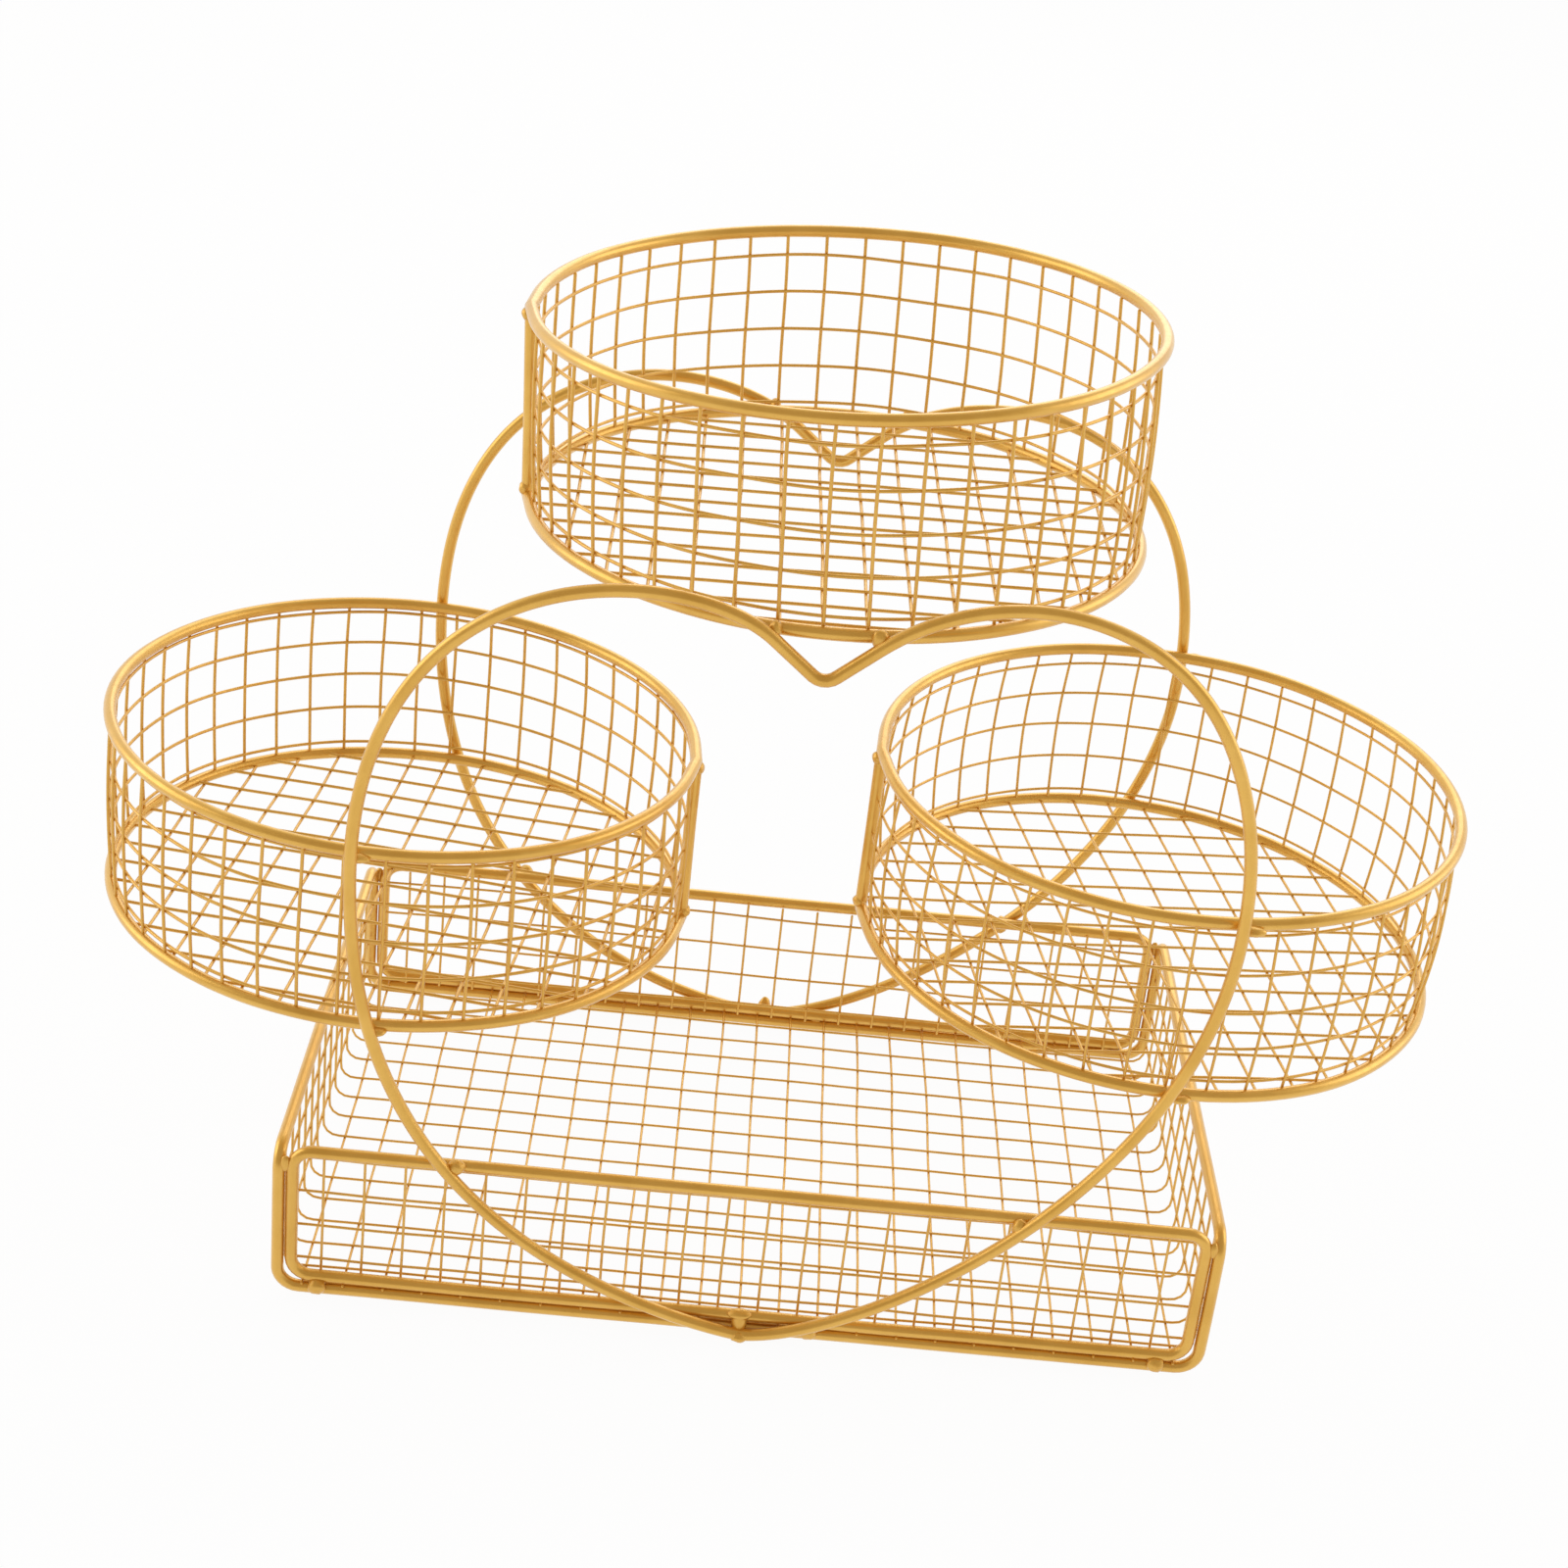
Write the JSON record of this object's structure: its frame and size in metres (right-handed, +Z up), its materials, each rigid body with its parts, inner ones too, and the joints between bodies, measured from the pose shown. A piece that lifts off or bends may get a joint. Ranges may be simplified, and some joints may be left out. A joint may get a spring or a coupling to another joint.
{
  "type": "wire fruit basket stand",
  "caption": "Free-standing wire stand: two heart-shaped frames hold round mesh baskets above a rectangular mesh tray, for fruit and small items.",
  "frame": {"origin": "centre of the bounding box on the plane that the tray's bottom rails rest on", "axes": "+Z up, +X to the right of the front view along the line of the two lower baskets, +Y to the back"},
  "size_m": [0.4409, 0.2006, 0.3163],
  "materials": {
    "frame_wire": "satin",
    "mesh_wire": "satin"
  },
  "bodies": {
    "root": {"heart_frame_front": "frame_wire", "heart_frame_back": "frame_wire", "top_basket_top_ring": "frame_wire", "top_basket_bottom_ring": "frame_wire", "top_basket_seam_post": "frame_wire", "top_basket_wall_mesh": "mesh_wire", "top_basket_floor_mesh": "mesh_wire", "left_basket_top_ring": "frame_wire", "left_basket_bottom_ring": "frame_wire", "left_basket_seam_post": "frame_wire", "left_basket_wall_mesh": "mesh_wire", "left_basket_floor_mesh": "mesh_wire", "right_basket_top_ring": "frame_wire", "right_basket_bottom_ring": "frame_wire", "right_basket_seam_post": "frame_wire", "right_basket_wall_mesh": "mesh_wire", "right_basket_floor_mesh": "mesh_wire", "tray_outer_frame": "frame_wire", "tray_front_loop": "frame_wire", "tray_back_loop": "frame_wire", "tray_front_mesh": "mesh_wire", "tray_back_mesh": "mesh_wire", "tray_floor_mesh": "mesh_wire"}
  },
  "joints": []
}
